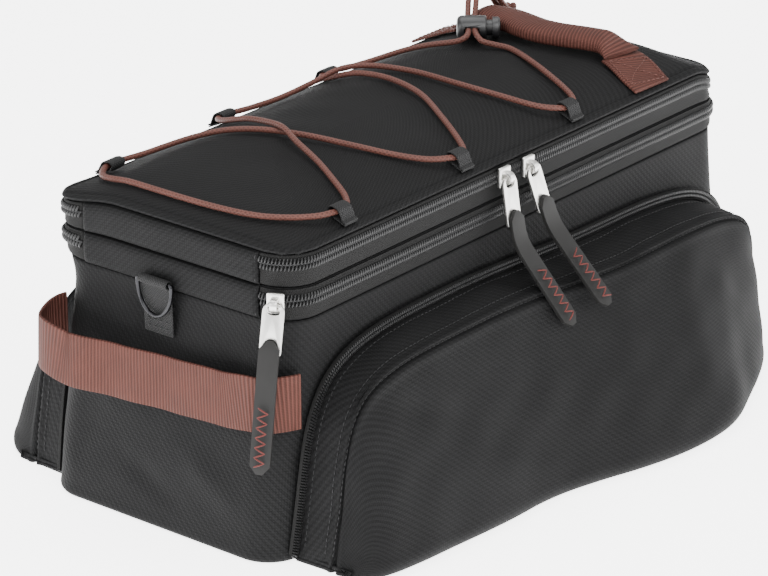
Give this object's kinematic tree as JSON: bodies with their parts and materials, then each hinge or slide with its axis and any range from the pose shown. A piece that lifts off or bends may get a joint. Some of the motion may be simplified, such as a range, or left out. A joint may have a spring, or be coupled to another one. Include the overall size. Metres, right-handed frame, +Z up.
{
  "type": "bicycle trunk bag",
  "caption": "Zipped rectangular bicycle trunk bag with a bulging zipped pocket on each long side, elastic lacing over its lid, a webbing carry handle, an end strap and a hanging ring.",
  "frame": {"origin": "middle of the bag's overall outline, seen from above, at the level of its flat base", "axes": "+X along the length, away from the end with the strap and the ring; -Y towards the long side where the two lid sliders meet; +Z up"},
  "size_m": [0.4154, 0.3244, 0.1994],
  "materials": {
    "body_fabric": "black polyester oxford, faint sheen",
    "lid_fabric": "black polyester twill over padding",
    "rim_fabric": "black polyester over padding",
    "pocket_fabric": "black polyester oxford with a stitched seam",
    "zip_coil": "black coil and woven tape",
    "brown_webbing": "copper brown ribbed webbing",
    "black_webbing": "black webbing",
    "brown_cord": "copper brown braided elastic",
    "lock_plastic": "black moulded plastic",
    "pull_metal": "satin silver",
    "ring_metal": "dark nickel",
    "tab_rubber": "charcoal, matt, with brick red stitching"
  },
  "bodies": {
    "bag": {"bag_body": "body_fabric", "rim_lower": "rim_fabric", "rim_upper": "rim_fabric", "zip_lower": "zip_coil", "zip_upper": "zip_coil", "hinge_band_lower": "rim_fabric", "hinge_band_upper": "rim_fabric", "lid": "lid_fabric", "pocket_near": "pocket_fabric", "pocket_far": "pocket_fabric", "pocket_zip_near": "zip_coil", "pocket_zip_far": "zip_coil", "handle_end_near": "brown_webbing", "handle_end_far": "brown_webbing", "handle_grip": "brown_webbing", "end_strap": "brown_webbing", "cord_loop_near_1": "black_webbing", "cord_loop_near_2": "black_webbing", "cord_loop_near_3": "black_webbing", "cord_loop_far_1": "black_webbing", "cord_loop_far_2": "black_webbing", "cord_loop_far_3": "black_webbing", "d_ring_web": "black_webbing", "elastic_cord": "brown_cord", "cord_knot": "brown_cord", "cord_lock_barrel": "lock_plastic", "slider_upper_left": "pull_metal", "slider_upper_right": "pull_metal", "slider_lower": "pull_metal"},
    "pull_upper_left": {"pull_plate_upper_left": "pull_metal", "pull_tab_upper_left": "tab_rubber"},
    "pull_upper_right": {"pull_plate_upper_right": "pull_metal", "pull_tab_upper_right": "tab_rubber"},
    "pull_lower": {"pull_plate_lower": "pull_metal", "pull_tab_lower": "tab_rubber"},
    "ring": {"d_ring": "ring_metal"},
    "plunger": {"cord_lock_plunger": "lock_plastic"}
  },
  "joints": [
    {"name": "pull_upper_left_swing", "type": "hinge", "parent": "bag", "child": "pull_upper_left", "pos_m": [-0.01558, -0.0848, 0.1586], "axis": [-1, 0, 0], "range_deg": [0, 150]},
    {"name": "pull_upper_right_swing", "type": "hinge", "parent": "bag", "child": "pull_upper_right", "pos_m": [0.00493, -0.0848, 0.1586], "axis": [-1, 0, 0], "range_deg": [0, 150]},
    {"name": "pull_lower_swing", "type": "hinge", "parent": "bag", "child": "pull_lower", "pos_m": [-0.18638, -0.07017, 0.13916], "axis": [-0.454, 0.891, 0], "range_deg": [0, 150]},
    {"name": "ring_swing", "type": "hinge", "parent": "bag", "child": "ring", "pos_m": [-0.18968, 0.0065, 0.133], "axis": [0, 1, 0], "range_deg": [0, 140]},
    {"name": "plunger_press", "type": "slide", "parent": "bag", "child": "plunger", "axis": [-0.6293, 0.7771, 0], "range_m": [0, 0.003], "stiffness_N_per_m": 300, "springref_m": -0.002}
  ]
}
